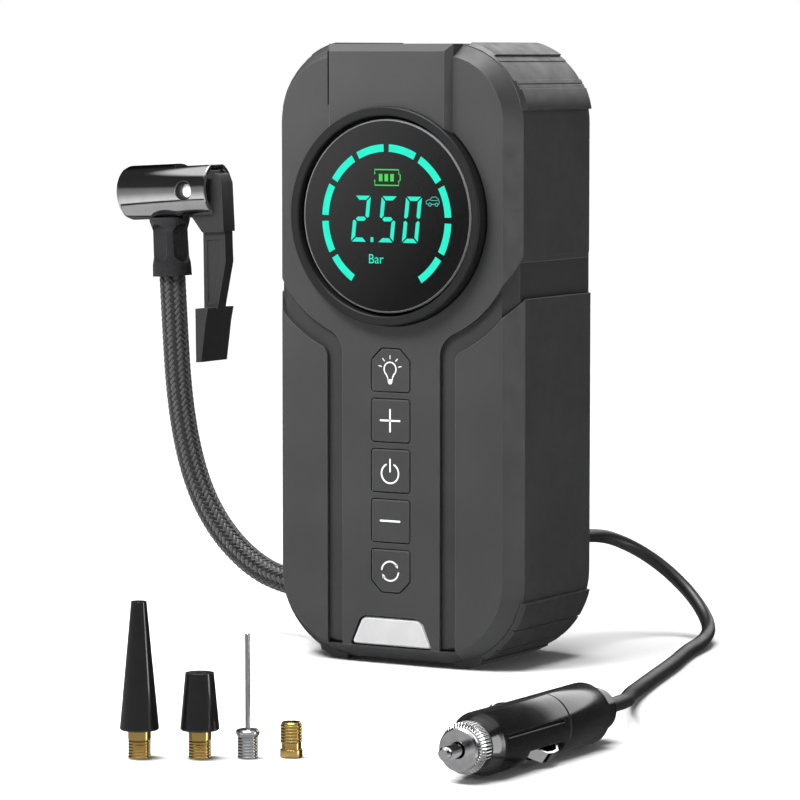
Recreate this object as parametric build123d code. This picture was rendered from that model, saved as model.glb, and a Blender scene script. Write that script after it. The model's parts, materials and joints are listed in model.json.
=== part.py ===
from build123d import *
from math import cos, pi, radians, sin, sqrt, tan
import os

# Portable tire inflator. Millimetres. The origin is on the floor under the middle of the body,
# +Z is up, the face with the display looks along -Y and +X is the right-hand side of that face.

# ---- driving dimensions of the body ----
BODY_HALF = 50.0           # lower cheeks, half width
UPPER_HALF = 49.4          # upper face panel, half width
TUB_HALF = 48.6            # inner tub that shows in the channels, half width
BODY_LOW = 1.2             # underside of the casing, above the feet
BODY_TOP = 220.6
FRONT_Y = -31.0            # raised front face
TUB_Y = -29.4              # floor of the channels
SEAM_Y = 25.5              # front tub meets the rear cover
REAR_Y = 31.0
FLAT_HALF = 45.2           # flat part of the front face, half width
TOP_R = 28.0
BOTTOM_R = 31.0
WALL = 2.2                 # wall of tub and rear cover
UPPER_BEVEL_Y = 7.4        # depth of the front bevel on the upper panel
LOWER_BEVEL_Y = 7.8        # and on the cheeks
BUMPER = 1.2               # how far the corner bumpers stand out
BUMPER_BEVEL = 1.8
BUMPER_FRONT = -24.2       # the bumpers start behind the front bevels

# ---- display, panels, buttons, lamp ----
DISPLAY_Z = 160.0
BEZEL_R = 38.6
GLASS_R = 34.2
CHANNEL_X = 8.0            # centre of the arcs that bound the channels
CHANNEL_Z = 158.3
FACE_ARC_R = 43.0
CHEEK_ARC_R = 49.7
SPINE_HALF = 20.0
CHEEK_INNER = 26.3
STRIP_FOOT = 25.4
STRIP_TOP = 23.4
STRIP_RISE = 3.0
BUTTON_W = 15.6
BUTTON_H = 15.1
BUTTON_PITCH = 17.9
BUTTON_LOW_Z = 33.8
BUTTON_GAP = 0.4
LAMP_LOW, LAMP_HIGH = 6.9, 16.9
LAMP_LOW_HALF, LAMP_HIGH_HALF = 16.5, 12.0

# ---- pump ----
GEAR_MODULE = 0.8
PINION_TEETH, GEAR_TEETH = 12, 48
BACKLASH = 0.2
CRANK_R = 4.0
PUMP_Y = 5.0
MOTOR_Z = 22.0
GEAR_Z = MOTOR_Z + GEAR_MODULE * (PINION_TEETH + GEAR_TEETH) / 2 + 0.1
ROD_X = 12.0               # middle plane of the connecting rod and of the cylinder
ROD_LENGTH = 26.0
BORE_R = 9.0
SHAFT_R = 2.0
RUNNING = 0.05             # radial clearance of a running fit

# ---- hose and chuck ----
HOSE_R = 4.7
HOSE_ROUTE = [(-52.5, 0, 21.3), (-65.9, 0, 23.2), (-78.9, 0, 28.9), (-91.2, 0, 39.4), (-100.6, 0, 53.3),
              (-106.7, 0, 71.0), (-110.1, 0, 90.5), (-111.75, 0, 112.5), (-112.9, 0, 134.44)]
CHUCK_X, CHUCK_Z = -112.6, 166.0
CHUCK_TILT = -3.0          # the barrel rises a little towards its open end
STEM_U = -1.95             # axis of the hose's end, along the barrel
STEM_W = -31.5             # and the hose's end below the barrel's axis
BARREL_R, BARREL_IN = 10.15, 8.25
BARREL_LEFT, BARREL_RIGHT = -19.4, 20.3
PIVOT_U = 11.1             # lever pivot, along the barrel from the ferrule's axis
LEVER_HALF = 3.9

# ---- power cord and plug ----
CORD_R = 2.5
CORD_ROUTE = [(29, 55, 38.9), (29, 70.3, 38.9), (35.2, 83.9, 34.2), (46, 91.6, 25.8), (59.5, 91.2, 14.9),
              (72, 80.4, 5.7), (78.8, 60.8, 3.2), (83, 38.1, 2.6), (92, 10, 2.6), (100, -20, 2.6),
              (108, -48, 2.8), (118, -76, 4.4), (130, -99, 7.6), (139, -119, 10.05), (139, -136, 10.05)]
GLAND_X, GLAND_Z = 29.0, 38.9       # where the cord passes through the rear cover
PLUG_X, PLUG_Y, PLUG_Z = 139.0, -236.0, 10.05
PLUG_R = 10.0
PLUG_LENGTH = 100.0
CONTACT_ANGLE = -35.0      # side contacts, about the plug's axis from +X

# ---- loose nozzles, standing on the floor ----
LONG_NOZZLE = (31.3, -237.0)
SHORT_NOZZLE = (47.7, -228.0)
NEEDLE = (60.5, -220.5)
ADAPTER = (71.3, -212.4)


def front_prism(sketch, y_back, y_front):
    """A sketch drawn in X and Z, extruded from y_back forward to y_front."""
    return extrude(Plane.XZ.offset(-y_back) * sketch, amount=y_back - y_front)


def polygon(points):
    return make_face(Polyline(*points, close=True))


def turn(points):
    """Solid of revolution about Z from (radius, height) points."""
    face = make_face(Plane.XZ * Polyline(*points, close=True))
    return revolve(face, Axis.Z)


def rod(radius, start, end):
    """A plain cylinder between two points."""
    start, end = Vector(*start), Vector(*end)
    plane = Plane(origin=start, z_dir=end - start)
    return extrude(plane * Circle(radius), amount=(end - start).length)


def block(x0, x1, y0, y1, z0, z1):
    return Pos((x0 + x1) / 2, (y0 + y1) / 2, (z0 + z1) / 2) * Box(x1 - x0, y1 - y0, z1 - z0)


def outline(half, low, high, r_low, r_high):
    """Upright rectangle with one radius on its lower and one on its upper corners."""
    shape = Pos(0, (low + high) / 2) * Rectangle(2 * half, high - low)
    shape = fillet(shape.vertices().group_by(Axis.Y)[-1], r_high)
    return fillet(shape.vertices().group_by(Axis.Y)[0], r_low)


def bevelled(half, low, high, r_low, r_high, front, bevel_x, bevel_y, rear):
    """Upright slab whose front edges are bevelled all round."""
    full = outline(half, low, high, r_low, r_high)
    flat = outline(half - bevel_x, low + bevel_x, high - bevel_x, r_low - bevel_x, r_high - bevel_x)
    edge = front + bevel_y
    ring = loft([Plane.XZ.offset(-front) * flat, Plane.XZ.offset(-edge) * full], ruled=True)
    return ring + front_prism(full, rear, edge)


def upper_skin():
    bevel = UPPER_HALF - FLAT_HALF
    return bevelled(UPPER_HALF, BODY_LOW, BODY_TOP, BOTTOM_R, TOP_R, FRONT_Y, bevel, UPPER_BEVEL_Y, SEAM_Y)


def lower_skin():
    bevel = BODY_HALF - FLAT_HALF
    return bevelled(BODY_HALF, BODY_LOW, BODY_TOP, BOTTOM_R, TOP_R, FRONT_Y, bevel, LOWER_BEVEL_Y, SEAM_Y)


def tub_outside(rear=SEAM_Y, front=TUB_Y, inset=0.0):
    gap = BODY_HALF - TUB_HALF + inset
    return bevelled(BODY_HALF - gap, BODY_LOW + gap, BODY_TOP - gap, BOTTOM_R - gap, TOP_R - gap,
                    front, 4.6, 5.0, rear)


def right_lower_area(inner_x, arc_r, corner):
    """Front view area right of a vertical line and below the big arc, with a rounded inner corner."""
    area = Pos((inner_x + 60) / 2, (CHANNEL_Z - 5) / 2) * Rectangle(60 - inner_x, CHANNEL_Z + 5)
    area = area - Pos(CHANNEL_X, CHANNEL_Z) * Circle(arc_r)
    tip_z = CHANNEL_Z - sqrt(arc_r ** 2 - (inner_x - CHANNEL_X) ** 2)
    tip = area.vertices().sort_by_distance((inner_x, tip_z, 0))[0]
    return fillet(tip, corner)


def button_outline(index, grow=0.0):
    """Front view of button number index, counted from the lowest; grow widens it all round."""
    half_w = BUTTON_W / 2 + grow
    half_h = BUTTON_H / 2 + grow
    cut = 4.2
    if index in (0, 4):
        sign = 1 if index == 4 else -1
        points = [(-half_w, -sign * half_h), (half_w, -sign * half_h), (half_w, sign * (half_h - cut)),
                  (half_w - cut, sign * half_h), (cut - half_w, sign * half_h),
                  (-half_w, sign * (half_h - cut))]
        shape = polygon(points)
    else:
        shape = Rectangle(2 * half_w, 2 * half_h)
    shape = fillet(shape.vertices(), 1.0 + grow)
    return Pos(0, BUTTON_LOW_Z + index * BUTTON_PITCH) * shape


def lamp_outline(grow=0.0):
    points = [(-LAMP_LOW_HALF - grow, LAMP_LOW - grow), (LAMP_LOW_HALF + grow, LAMP_LOW - grow),
              (LAMP_HIGH_HALF + grow, LAMP_HIGH + grow), (-LAMP_HIGH_HALF - grow, LAMP_HIGH + grow)]
    shape = polygon(points)
    shape = fillet(shape.vertices().group_by(Axis.Y)[-1], 3.4 + grow)
    return fillet(shape.vertices().group_by(Axis.Y)[0], 1.0)


def display_hole(radius, y_back, y_front):
    return front_prism(Pos(0, DISPLAY_Z) * Circle(radius), y_back, y_front)


def exit_frame():
    """Frame at the hose's outlet, with Z along the first stretch of the hose."""
    start = Vector(*HOSE_ROUTE[0])
    return Plane(origin=start, z_dir=Vector(*HOSE_ROUTE[1]) - start)


def hose_opening(radius):
    return extrude(exit_frame().offset(-14) * Circle(radius), amount=26)


BOSSES = [(x * side, z) for side in (-1, 1) for x, z in ((38.0, 17.0), (41.0, 112.0), (38.0, 203.0))]


def make_front_cover():
    tub = tub_outside() - tub_outside(front=TUB_Y + WALL, inset=WALL)
    chin = (lower_skin() - tub_outside()) & block(-CHEEK_INNER, CHEEK_INNER, -40, 40, -1, 6.4)
    tub = tub + chin + block(-13, 13, -11, 11, 0, BODY_LOW + 0.6)
    for x, z in BOSSES:
        foot = 9 if z < 50 else TUB_Y + 1
        tub = tub + rod(3.5, (x, foot, z), (x, SEAM_Y, z)) - rod(1.3, (x, 9, z), (x, SEAM_Y, z))
    for x in (-26, 26):
        for z in (28, 190):
            tub = tub + rod(2.4, (x, TUB_Y + 1, z), (x, -20, z))
    tub = tub - display_hole(GLASS_R + 0.4, 0, -40)
    for index in range(5):
        tub = tub - front_prism(button_outline(index, BUTTON_GAP), -20, -40)
    return tub - front_prism(lamp_outline(0.5), -20, -40) - hose_opening(8.2)


def make_rear_cover():
    gap = BODY_HALF - TUB_HALF
    turned_over = bevelled(TUB_HALF, BODY_LOW + gap, BODY_TOP - gap, BOTTOM_R - gap, TOP_R - gap,
                           -REAR_Y, 4.4, 4.4, -SEAM_Y)
    inside_gap = gap + WALL
    inner = bevelled(BODY_HALF - inside_gap, BODY_LOW + inside_gap, BODY_TOP - inside_gap,
                     BOTTOM_R - inside_gap, TOP_R - inside_gap, WALL - REAR_Y, 3.0, 3.0, -SEAM_Y)
    cover = mirror(turned_over - inner, about=Plane.XZ)
    for x, z in BOSSES:
        cover = cover + rod(4.2, (x, SEAM_Y, z), (x, REAR_Y - 1, z))
        cover = cover - rod(1.7, (x, SEAM_Y - 1, z), (x, REAR_Y + 1, z))
        cover = cover - rod(3.2, (x, REAR_Y - 2.4, z), (x, REAR_Y + 1, z))
    for row in range(8):
        slot = Pos(-8, 58 + 5.2 * row) * SlotOverall(34, 2.0)
        cover = cover - extrude(Plane.XZ.offset(-REAR_Y - 1) * slot, amount=8)
    for row in range(6):
        slot = Pos(0, 176 + 5.2 * row) * SlotOverall(44, 2.0)
        cover = cover - extrude(Plane.XZ.offset(-REAR_Y - 1) * slot, amount=8)
    panel = outline(34, 108, 164, 5, 5)
    cover = cover - extrude(Plane.XZ.offset(-REAR_Y - 1) * panel, amount=1.6)
    return cover - rod(4.6, (GLAND_X, 20, GLAND_Z), (GLAND_X, 40, GLAND_Z))


def make_face_panel():
    """Upper panel and spine, which carry the display and the buttons, with the raised top strip."""
    strip_outline = polygon([(-STRIP_FOOT, -24), (-STRIP_FOOT, FRONT_Y), (-STRIP_TOP, FRONT_Y - STRIP_RISE),
                             (STRIP_TOP, FRONT_Y - STRIP_RISE), (STRIP_FOOT, FRONT_Y), (STRIP_FOOT, -24)])
    strip = Pos(0, 0, 184) * extrude(strip_outline, amount=BODY_TOP - 184)
    hip = polygon([(-40, BODY_TOP - 2.6), (-34.0, BODY_TOP - 2.6), (-31.0, BODY_TOP), (-31.0, 240), (-40, 240)])
    strip = strip - extrude(Plane.YZ.offset(-40) * hip, amount=80)
    panel = upper_skin() + strip - tub_outside()
    right = right_lower_area(SPINE_HALF, FACE_ARC_R, 9.0)
    opening = front_prism(right, 40, -50)
    panel = panel - opening - mirror(opening, about=Plane.YZ) - block(-60, 60, -60, 60, -10, 6.4)
    panel = panel - display_hole(BEZEL_R + 0.05, 0, -50)
    for index in range(5):
        panel = panel - front_prism(button_outline(index, BUTTON_GAP), -20, -40)
    return panel - front_prism(lamp_outline(0.5), -20, -40)


def make_right_cheek():
    area = right_lower_area(CHEEK_INNER, CHEEK_ARC_R, 4.0)
    return (lower_skin() - tub_outside()) & front_prism(area, SEAM_Y, -50)


def sector(centre_x, centre_z, radius, start, end):
    """Pie slice in the front view; angles in degrees from +X."""
    steps = 12
    rim = [(centre_x + radius * cos(radians(start + (end - start) * k / steps)),
            centre_z + radius * sin(radians(start + (end - start) * k / steps))) for k in range(steps + 1)]
    return polygon([(centre_x, centre_z)] + rim)


def groove(centre_x, centre_z, floor_r, start, end):
    """Cutter that lowers a bumper to floor_r between two angles."""
    area = sector(centre_x, centre_z, 45, start, end) - Pos(centre_x, centre_z) * Circle(floor_r)
    return front_prism(area, 40, -40)


def bumper_blank():
    reach = UPPER_HALF + BUMPER
    return bevelled(reach, 0.0, BODY_TOP + BUMPER, BOTTOM_R + BUMPER, TOP_R + BUMPER, BUMPER_FRONT,
                    BUMPER, BUMPER_BEVEL, SEAM_Y)


def make_top_bumper():
    centre_x, centre_z = UPPER_HALF - TOP_R, BODY_TOP - TOP_R
    bumper = (bumper_blank() - upper_skin()) & front_prism(sector(centre_x, centre_z, 45, 9.7, 77), 40, -40)
    for floor_r, start, end in ((28.8, 25.0, 28.2), (28.55, 28.2, 29.2), (28.8, 29.2, 32.2), (28.35, 32.2, 50.0),
                                (28.6, 50.0, 56.0)):
        bumper = bumper - groove(centre_x, centre_z, floor_r, start, end)
    return bumper


def make_bottom_bumper():
    centre_x, centre_z = BODY_HALF - BOTTOM_R, BODY_LOW + BOTTOM_R
    blank = bevelled(BODY_HALF + BUMPER, 0.0, BODY_TOP, BOTTOM_R + BUMPER, TOP_R, BUMPER_FRONT, BUMPER,
                     BUMPER_BEVEL, SEAM_Y)
    foot = polygon([(22, 4), (22, 0), (27.5, 0), (33, 2.6), (34, 6)])
    skin = lower_skin()
    bumper = (blank - skin) & front_prism(sector(centre_x, centre_z, 45, -80, -14.2), 40, -40)
    for start, end in ((-34.2, -33.0), (-52.7, -51.5)):
        bumper = bumper - groove(centre_x, centre_z, BOTTOM_R + 0.4, start, end)
    return bumper + (front_prism(foot, SEAM_Y, BUMPER_FRONT) - skin)


def make_display_bezel():
    ring = turn([(BEZEL_R, 29.4), (BEZEL_R, 35.5), (38.2, 35.9), (35.8, 35.9), (35.4, 35.5), (35.4, 32.0),
                 (34.7, 31.6), (34.7, 29.4)])
    return Pos(0, 0, DISPLAY_Z) * Rot(90, 0, 0) * ring


def make_display_glass():
    disc = turn([(0, 32.3), (GLASS_R, 32.3), (GLASS_R, 33.6), (GLASS_R - 0.5, 34.0), (0, 34.2)])
    return Pos(0, 0, DISPLAY_Z) * Rot(90, 0, 0) * disc


def make_display_module():
    disc = Pos(0, 0, DISPLAY_Z) * Rot(90, 0, 0) * turn([(0, 26.0), (33.2, 26.0), (33.2, 32.3), (0, 32.3)])
    return disc + block(-20, 20, -26.5, -20, DISPLAY_Z - 16, DISPLAY_Z + 16)


def make_control_board():
    board = block(-30, 30, -20, -18.4, 24, 196)
    chip = block(-24, -12, -18.4, -16.9, 120, 132)
    coil = rod(4.5, (20, -18.4, 66), (20, -14.5, 66))
    caps = rod(3.2, (-22, -18.4, 76), (-22, -15.0, 76)) + rod(3.2, (-22, -18.4, 68), (-22, -15.0, 68))
    return board + chip + coil + caps


def button_z(index):
    return BUTTON_LOW_Z + index * BUTTON_PITCH


def make_tact_switches():
    group = []
    for index in range(5):
        z = button_z(index)
        group.append(block(-3, 3, -21.6, -20, z - 3, z + 3) + rod(1.6, (0, -21.5, z), (0, -22.1, z)))
    return Compound(group)


def make_button(index):
    """Cap with a flange behind the casing and a stem that reaches the switch."""
    cap = front_prism(button_outline(index), -26.9, -31.25)
    cap = chamfer(cap.faces().sort_by(Axis.Y)[0].edges(), 0.3)
    flange = front_prism(button_outline(index, 0.85), -25.8, -26.9)
    z = button_z(index)
    return cap + flange + rod(2.2, (0, -25.9, z), (0, -23.0, z))


def make_lamp_lens():
    lens = front_prism(lamp_outline(), -27.6, -30.7)
    lens = chamfer(lens.faces().sort_by(Axis.Y)[0].edges(), 0.6)
    return lens + front_prism(lamp_outline(0.45), -27.2, -27.6)


def make_lamp_board():
    board = block(-16, 16, -25.4, -24.2, 7.4, 17.0)
    leds = [block(x - 1.4, x + 1.4, -26.3, -25.4, 10.6, 13.4) for x in (-11, -5.5, 0, 5.5, 11)]
    for led in leds:
        board = board + led
    return board


CELL_X = (-19.0, 0.0, 19.0)


def make_battery_cells():
    cell = turn([(0, 0), (9.0, 0), (9.1, 1), (9.1, 63), (8.6, 64), (3, 64), (3, 65), (0, 65)])
    return Compound([Pos(x, 5, 102) * cell for x in CELL_X])


def make_battery_holder():
    """Two end trays joined by a spine between the cells and the board."""
    tray = block(-30, 30, -5.5, 15.5, 99, 106) + block(-30, 30, -5.5, 15.5, 163, 170)
    tray = tray + block(-30, 30, -7.5, -5.5, 99, 170)
    for x in CELL_X:
        tray = tray - rod(9.2, (x, 5, 101.9), (x, 5, 167.2))
    return tray


def gear_blank(teeth, width, bore):
    """Spur gear about X with straight-flanked teeth thinned for backlash; a gap centre faces +Z."""
    pitch_r = GEAR_MODULE * teeth / 2
    root_r = pitch_r - 1.25 * GEAR_MODULE
    tip_r = pitch_r + 0.85 * GEAR_MODULE
    half_pitch = (pi * GEAR_MODULE / 2 - BACKLASH) / 2
    shape = Circle(root_r + 0.05)
    for tooth in range(teeth):
        foot = half_pitch + (pitch_r - root_r) * tan(radians(20))
        tip = half_pitch - (tip_r - pitch_r) * tan(radians(20))
        profile = polygon([(root_r - 0.3, -foot), (root_r, -foot), (pitch_r, -half_pitch), (tip_r, -tip),
                           (tip_r, tip), (pitch_r, half_pitch), (root_r, foot), (root_r - 0.3, foot)])
        shape = shape + Rot(0, 0, 360 / teeth * (tooth + 0.5)) * profile
    if bore:
        shape = shape - Circle(bore)
    return Rot(0, 90, 0) * extrude(shape, amount=width)


def make_drive_pinion():
    """Its gaps face up and down, so that it takes a tooth of the gear above it."""
    return Pos(3.6, PUMP_Y, MOTOR_Z) * gear_blank(PINION_TEETH, 6.2, 1.0)


def make_crank_gear():
    """A tooth faces down into the pinion; four lightening holes and a counterweight opposite the pin."""
    step = 180 / GEAR_TEETH
    gear = Rot(step, 0, 0) * gear_blank(GEAR_TEETH, 5.0, SHAFT_R)
    for turn_by in range(4):
        angle = radians(45 + 90 * turn_by)
        gear = gear - rod(3.6, (-1, 11 * sin(angle), 11 * cos(angle)), (9, 11 * sin(angle), 11 * cos(angle)))
    weight = rod(9.5, (5.0, 0, -6.5), (5.8, 0, -6.5)) - block(4, 7, -20, 20, -3.6, 20)
    gear = gear + (weight & rod(15.5, (4.9, 0, 0), (5.8, 0, 0)))
    gear = gear - rod(1.5, (-1, 0, CRANK_R), (9, 0, CRANK_R))
    return Pos(4.2, PUMP_Y, GEAR_Z) * gear


def make_crank_shaft():
    shaft = rod(SHAFT_R, (-3.6, PUMP_Y, GEAR_Z), (9.2, PUMP_Y, GEAR_Z))
    return shaft + rod(3.2, (-4.6, PUMP_Y, GEAR_Z), (-3.6, PUMP_Y, GEAR_Z))


def make_crank_pin():
    z = GEAR_Z + CRANK_R
    return rod(1.5, (4.2, PUMP_Y, z), (14.6, PUMP_Y, z)) + rod(2.4, (14.3, PUMP_Y, z), (15.0, PUMP_Y, z))


def make_connecting_rod():
    low, high = GEAR_Z + CRANK_R, GEAR_Z + CRANK_R + ROD_LENGTH
    body = rod(4.0, (ROD_X - 1.8, PUMP_Y, low), (ROD_X + 1.8, PUMP_Y, low))
    body = body + block(ROD_X - 1.2, ROD_X + 1.2, PUMP_Y - 1.8, PUMP_Y + 1.8, low, high)
    body = body + rod(2.9, (ROD_X - 1.8, PUMP_Y, high), (ROD_X + 1.8, PUMP_Y, high))
    body = body - rod(1.5 + RUNNING, (0, PUMP_Y, low), (30, PUMP_Y, low))
    return body + rod(1.5, (ROD_X - 4.5, PUMP_Y, high), (ROD_X + 4.5, PUMP_Y, high))


WRIST_Z = GEAR_Z + CRANK_R + ROD_LENGTH
PISTON_FOOT = WRIST_Z - 1.0
PISTON_TOP = WRIST_Z + 14.5


def make_piston():
    height = PISTON_TOP - PISTON_FOOT
    shape = turn([(7.5, 0), (BORE_R - RUNNING, 0), (BORE_R - RUNNING, height - 4.2), (7.9, height - 4.2),
                  (7.9, height - 2.2), (BORE_R - RUNNING, height - 2.2), (BORE_R - RUNNING, height - 0.5),
                  (BORE_R - 0.6, height), (0, height), (0, height - 2.6), (7.5, height - 2.6)])
    return Pos(ROD_X, PUMP_Y, PISTON_FOOT) * shape


def make_piston_ring():
    height = PISTON_TOP - PISTON_FOOT
    ring = turn([(7.9, height - 4.2), (BORE_R - 0.02, height - 4.2), (BORE_R - 0.02, height - 2.2),
                 (7.9, height - 2.2)])
    return Pos(ROD_X, PUMP_Y, PISTON_FOOT) * ring


SHELF_Z = GEAR_Z + 20.4
CYLINDER_TOP = PISTON_TOP + 0.8


def make_pump_frame():
    plate = block(0, 3, PUMP_Y - 19, PUMP_Y + 19, 7, SHELF_Z + 3)
    shelf = block(0, 25, PUMP_Y - 13, PUMP_Y + 13, SHELF_Z, SHELF_Z + 3)
    foot = block(-8, 3, PUMP_Y - 19, PUMP_Y + 19, 4.9, 8)
    frame = plate + shelf + foot
    frame = frame - rod(BORE_R + 0.4, (ROD_X, PUMP_Y, SHELF_Z - 1), (ROD_X, PUMP_Y, SHELF_Z + 5))
    frame = frame - rod(6.0, (-9, PUMP_Y, MOTOR_Z), (9, PUMP_Y, MOTOR_Z))
    bearing = rod(5.0, (-3.0, PUMP_Y, GEAR_Z), (3.6, PUMP_Y, GEAR_Z))
    return frame + bearing - rod(SHAFT_R + RUNNING, (-9, PUMP_Y, GEAR_Z), (9, PUMP_Y, GEAR_Z))


def make_motor_can():
    can = turn([(0, 0), (4.9, 0), (4.9, 2), (13.6, 2), (14, 2.6), (14, 32), (13.4, 33), (5, 33), (5, 34.5),
                (1.1, 34.5), (1.1, 30), (0, 30)])
    can = can + block(-4, 4, -13.0, -11.5, -1.8, 2) + block(-4, 4, 11.5, 13.0, -1.8, 2)
    return Pos(-33.6, PUMP_Y, MOTOR_Z) * Rot(0, 90, 0) * can


def make_motor_shaft():
    return rod(1.0, (-3.4, PUMP_Y, MOTOR_Z), (11.4, PUMP_Y, MOTOR_Z))


def make_cylinder():
    height = CYLINDER_TOP - SHELF_Z - 3
    points = [(BORE_R, 0), (12.6, 0), (12.6, 2)]
    fins = 5
    step = (height - 4) / fins
    for fin in range(fins):
        base = 2 + fin * step
        points += [(10.6, base), (10.6, base + step * 0.6), (12.4, base + step * 0.6), (12.4, base + step)]
    points += [(12.6, height - 2), (12.6, height), (BORE_R, height)]
    return Pos(ROD_X, PUMP_Y, SHELF_Z + 3) * turn(points)


def make_cylinder_head():
    head = block(-2, 26, PUMP_Y - 14, PUMP_Y + 14, CYLINDER_TOP, CYLINDER_TOP + 4.2)
    spigot_z = CYLINDER_TOP + 2.1
    head = head + rod(1.9, (-2.5, PUMP_Y, spigot_z), (-8, PUMP_Y, spigot_z))
    head = head + rod(2.05, (-2, PUMP_Y, spigot_z), (-2.6, PUMP_Y, spigot_z))
    for x in (1, 23):
        for y in (PUMP_Y - 11, PUMP_Y + 11):
            head = head + rod(2.6, (x, y, CYLINDER_TOP + 4.2), (x, y, CYLINDER_TOP + 5.6))
            head = head + rod(1.4, (x, y, SHELF_Z + 3), (x, y, CYLINDER_TOP))
    return head


ELBOW_X = -40.6


def make_hose_gland():
    """Flanged outlet fitting with a tapered boot outside and an elbow spigot inside."""
    boot = turn([(0, -12.0), (4.6, -12.0), (4.6, -7.8), (8.0, -7.8), (8.0, -0.6), (9.4, -0.6), (9.4, 1.0),
                 (8.2, 1.6), (6.3, 7.0), (HOSE_R, 7.2), (HOSE_R, 0), (0, 0)])
    fitting = exit_frame().location * boot
    joint = HOSE_ROUTE[0][2] - 0.9
    fitting = fitting + rod(3.0, (ELBOW_X, 0, joint), (ELBOW_X - 6, 0, joint))
    fitting = fitting + rod(3.0, (ELBOW_X, 0, joint - 3), (ELBOW_X, 0, joint + 6))
    return fitting + rod(1.9, (ELBOW_X, 0, joint + 5.5), (ELBOW_X, 0, joint + 14))


def make_air_tube():
    """Soft inner tube from the cylinder head to the outlet elbow, slipped over both spigots."""
    head_z = CYLINDER_TOP + 2.1
    start_z = HOSE_ROUTE[0][2] + 5.1
    path = FilletPolyline([(ELBOW_X, 0, start_z), (ELBOW_X, 0, head_z), (-24, PUMP_Y, head_z), (-2.6, PUMP_Y, head_z)],
                          radius=[9, 9])
    outer = sweep(Plane(origin=(ELBOW_X, 0, start_z)) * Circle(2.9), path=path)
    inner = sweep(Plane(origin=(ELBOW_X, 0, start_z)) * Circle(1.9), path=path)
    return outer - inner


def make_pressure_sensor():
    body = block(4, 20, PUMP_Y - 6, PUMP_Y + 6, CYLINDER_TOP + 4.2, CYLINDER_TOP + 5.4)
    return body + rod(3.0, (ROD_X, PUMP_Y, CYLINDER_TOP + 5.4), (ROD_X, PUMP_Y, CYLINDER_TOP + 6.4))


def corner_radii(route):
    """Largest even radius that each corner's two runs allow."""
    points = [Vector(*p) for p in route]
    radii = []
    for before, here, after in zip(points, points[1:], points[2:]):
        run_in, run_out = here - before, after - here
        half_turn = radians(run_in.get_angle(run_out)) / 2
        radii.append(0.45 * min(run_in.length, run_out.length) / tan(half_turn))
    return radii


def free_tube(route, radius, name):
    """Straight runs joined by tangent arcs; the volume is compared with section times length."""
    radii = corner_radii(route)
    path = FilletPolyline(*route, radius=radii)
    start = Plane(origin=route[0], z_dir=Vector(*route[1]) - Vector(*route[0]))
    tube = sweep(start * Circle(radius), path=path)
    expected = pi * radius ** 2 * path.length
    print(name, "length", round(path.length, 1), "radii", [round(r, 1) for r in radii],
          "volume ratio", round(tube.volume / expected, 4))
    return tube


def chuck(shape):
    """Places a part drawn about the barrel's own axes, with U along X, onto the hose's end."""
    return Pos(CHUCK_X, 0, CHUCK_Z) * Rot(0, CHUCK_TILT, 0) * shape


def along_u(points):
    return Rot(0, 90, 0) * turn(points)


def make_hose_ferrule():
    """Fluted collar over the hose's end, with a stem that enters the barrel."""
    top = -BARREL_IN - 0.5
    low = STEM_W
    body = turn([(0, low), (7.3, low), (7.15, low + 4.5), (6.6, low + 7.0), (6.45, low + 17.0), (7.5, low + 20.4),
                 (7.6, low + 21.4), (6.4, low + 22.0), (0, low + 22.0)])
    flute = extrude(Plane.YZ.offset(5.35) * Pos(0, low + 12.2) * SlotOverall(14.6, 7.0, rotation=90), amount=6)
    for quarter in range(4):
        body = body - Rot(0, 0, 75 + 90 * quarter) * flute
    body = Pos(STEM_U, 0, 0) * body - rod(BARREL_R, (-30, 0, 0), (30, 0, 0))
    return chuck(body + rod(3.4, (STEM_U, 0, low + 20), (STEM_U, 0, top)))


def lever_slot(half_width, u_from, u_to, z_from, z_to):
    return block(u_from, u_to, -half_width, half_width, z_from, z_to)


def make_chuck_barrel():
    barrel = along_u([(BARREL_IN, BARREL_LEFT + 1.9), (4.6, BARREL_LEFT + 1.9), (4.6, BARREL_LEFT),
                      (8.4, BARREL_LEFT), (9.6, BARREL_LEFT + 0.6), (BARREL_R, BARREL_LEFT + 2.0),
                      (BARREL_R, BARREL_RIGHT - 0.3), (BARREL_R - 0.3, BARREL_RIGHT),
                      (BARREL_IN + 0.3, BARREL_RIGHT), (BARREL_IN, BARREL_RIGHT - 0.3)])
    barrel = barrel - lever_slot(LEVER_HALF + 0.4, 9.6, 30, -20, 0)
    barrel = barrel - lever_slot(LEVER_HALF + 0.4, 4.4, 30, 0, 20)
    barrel = barrel - rod(3.6, (PIVOT_U, -20, 0), (PIVOT_U, 20, 0))
    return chuck(barrel - rod(3.4, (STEM_U, 0, -16), (STEM_U, 0, -5)))


def make_chuck_seal():
    return chuck(along_u([(3.95, BARREL_LEFT + 2.1), (BARREL_IN - 0.02, BARREL_LEFT + 2.1),
                          (BARREL_IN - 0.02, -9.2), (3.95, -9.2)]))


CAM_GAP_U = 4.35


def make_clamp_sleeve():
    """Brass pusher between the seal and the lever's cam, with an air groove over the hose's stem."""
    return chuck(along_u([(2.0, -8.7), (BARREL_IN - 0.08, -8.7), (BARREL_IN - 0.08, -5.8), (5.2, -5.8),
                          (5.2, 3.0), (BARREL_IN - 0.08, 3.0), (BARREL_IN - 0.08, CAM_GAP_U), (0, CAM_GAP_U),
                          (0, 2.4), (2.0, 2.4)]))


def make_chuck_cheeks():
    """Two moulded halves that fill the barrel beside the lever and hold its pin."""
    core = along_u([(0, 6.9), (BARREL_IN - 0.02, 6.9), (BARREL_IN - 0.02, 18.6), (0, 18.6)])
    core = core - lever_slot(LEVER_HALF + 0.3, 0, 30, -20, 20)
    return chuck(core - rod(2.5, (PIVOT_U, -20, 0), (PIVOT_U, 20, 0)))


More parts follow.
